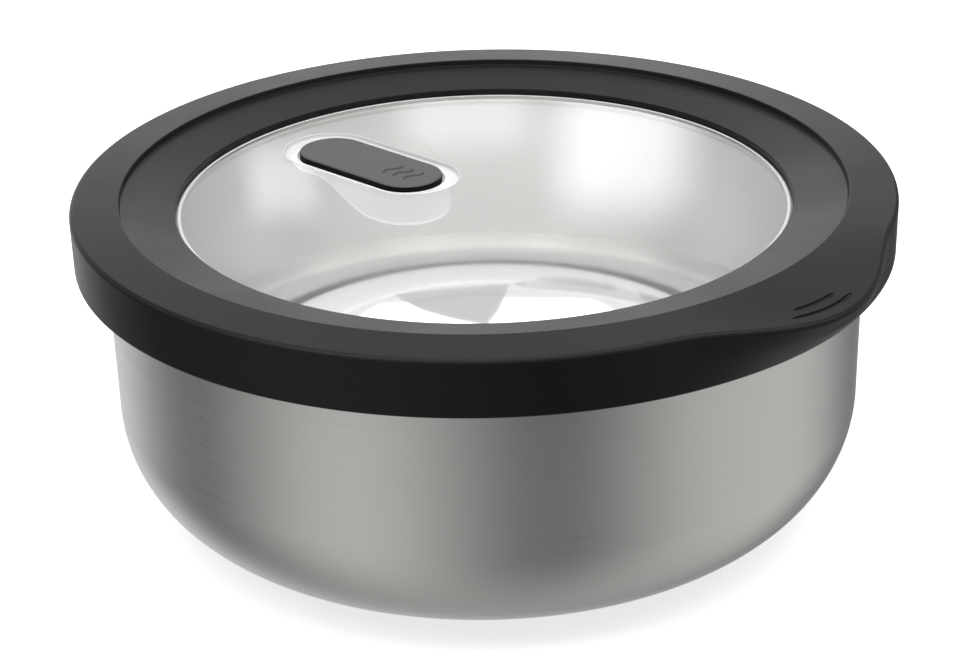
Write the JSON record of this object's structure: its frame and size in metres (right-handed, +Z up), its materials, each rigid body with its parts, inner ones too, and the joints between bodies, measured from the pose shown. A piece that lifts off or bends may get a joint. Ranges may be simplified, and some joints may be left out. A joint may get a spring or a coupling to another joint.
{
  "type": "food storage container",
  "caption": "Round steel food container with a lift-off lid: soft dark rim with a thumb tab, clear window, sealing ring and a tilting steam vent.",
  "frame": {"origin": "on the bowl's axis, in the middle of the flat base that it stands on", "axes": "+Z up along the bowl's axis, -Y towards the thumb tab of the lid, +Y towards the steam vent"},
  "size_m": [0.18, 0.1875, 0.074],
  "materials": {
    "steel": "satin brushed outside, polished inside",
    "soft_rim": "matte moulded soft plastic",
    "clear_panel": "clear, polished mould",
    "seal_silicone": "matte translucent silicone",
    "vent_plastic": "fine matte moulded plastic",
    "vent_silicone": "matte silicone"
  },
  "bodies": {
    "bowl": {"bowl": "steel"},
    "lid": {"lid_rim": "soft_rim", "lid_window": "clear_panel", "lid_seal": "seal_silicone"},
    "vent": {"vent_rocker": "vent_plastic", "vent_seal": "vent_silicone"}
  },
  "joints": [
    {"name": "lid_lift", "type": "slide", "parent": "bowl", "child": "lid", "axis": [0, 0, 1], "range_m": [0, 0.09]},
    {"name": "vent_tilt", "type": "hinge", "parent": "lid", "child": "vent", "pos_m": [0, 0.04, 0.0669], "axis": [1, 0, 0], "range_deg": [0, 13]}
  ]
}
